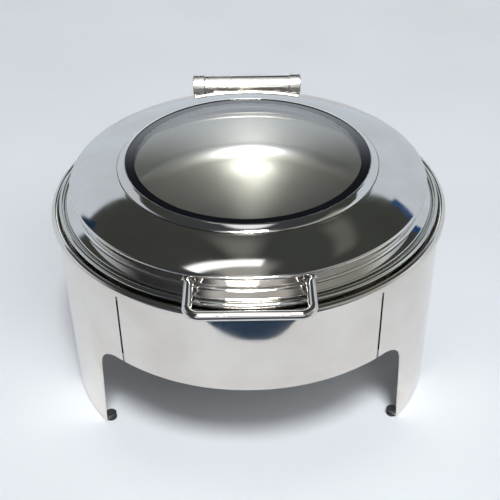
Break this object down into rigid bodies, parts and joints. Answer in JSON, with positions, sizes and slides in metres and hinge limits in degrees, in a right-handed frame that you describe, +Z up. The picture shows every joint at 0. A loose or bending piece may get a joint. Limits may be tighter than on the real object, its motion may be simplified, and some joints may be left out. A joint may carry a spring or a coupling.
{
  "type": "roll top chafer",
  "caption": "Round buffet chafer: arched sheet stand on rubber feet, lift-off water and food pans, and a rear-hinged polished lid with a glass window and bar handle.",
  "frame": {"origin": "on the floor under the axis of the round pans, midway between the handle's front and the hinge bracket's back", "axes": "+Z up along the pans' axis, -Y towards the lid handle (front), +Y towards the hinge, +X to the right seen from the front"},
  "size_m": [0.46, 0.506, 0.2849],
  "materials": {
    "polished_steel": "mirror-polished stainless steel sheet, faint polishing lines",
    "satin_steel": "satin stainless steel, fine circular grain",
    "plain_steel": "unpolished stainless steel",
    "spring_steel": "dark oiled spring wire",
    "black_rubber": "matt black moulded rubber",
    "bush_plastic": "tan bearing plastic",
    "damper_plastic": "dark moulded plastic",
    "window_glass": "clear flat toughened glass with a black printed border"
  },
  "bodies": {
    "stand": {"stand_front_panel": "polished_steel", "stand_right_panel": "polished_steel", "stand_left_panel": "polished_steel", "leg_panel_left": "polished_steel", "leg_panel_right": "polished_steel", "leg_panel_rear": "polished_steel", "rubber_foot_left_1": "black_rubber", "rubber_foot_left_2": "black_rubber", "rubber_foot_right_1": "black_rubber", "rubber_foot_right_2": "black_rubber", "rubber_foot_rear_1": "black_rubber", "rubber_foot_rear_2": "black_rubber", "stand_top_hoop": "plain_steel", "seam_strap_left_1": "plain_steel", "seam_strap_left_2": "plain_steel", "seam_strap_right_1": "plain_steel", "seam_strap_right_2": "plain_steel", "seam_strap_rear_1": "plain_steel", "seam_strap_rear_2": "plain_steel"},
    "pan": {"water_pan": "polished_steel", "food_pan": "satin_steel", "hinge_bracket": "polished_steel", "hinge_backing_strip": "plain_steel", "bracket_screw_1": "plain_steel", "bracket_screw_2": "plain_steel", "hinge_end_cap_left": "polished_steel", "cap_screw_left": "plain_steel", "hinge_end_cap_right": "polished_steel", "cap_screw_right": "plain_steel", "hinge_pin": "plain_steel", "hinge_bush_left": "bush_plastic", "hinge_bush_right": "bush_plastic", "rotary_damper": "damper_plastic", "torsion_spring": "spring_steel"},
    "lid": {"lid_shell": "polished_steel", "window_glass": "window_glass", "window_gasket": "black_rubber", "window_bezel": "polished_steel", "bezel_screw_1": "plain_steel", "bezel_screw_2": "plain_steel", "bezel_screw_3": "plain_steel", "bezel_screw_4": "plain_steel", "bezel_screw_5": "plain_steel", "bezel_screw_6": "plain_steel", "lid_handle": "polished_steel", "handle_washer_left": "polished_steel", "handle_screw_left": "plain_steel", "handle_washer_right": "polished_steel", "handle_screw_right": "plain_steel", "hinge_arm": "polished_steel", "arm_screw_1": "plain_steel", "arm_screw_2": "plain_steel"}
  },
  "joints": [
    {"name": "pan_lift", "type": "slide", "parent": "stand", "child": "pan", "axis": [0, 0, 1], "range_m": [0, 0.15]},
    {"name": "lid_hinge", "type": "hinge", "parent": "pan", "child": "lid", "pos_m": [0, 0.232, 0.259], "axis": [-1, 0, 0], "range_deg": [0, 90]}
  ]
}
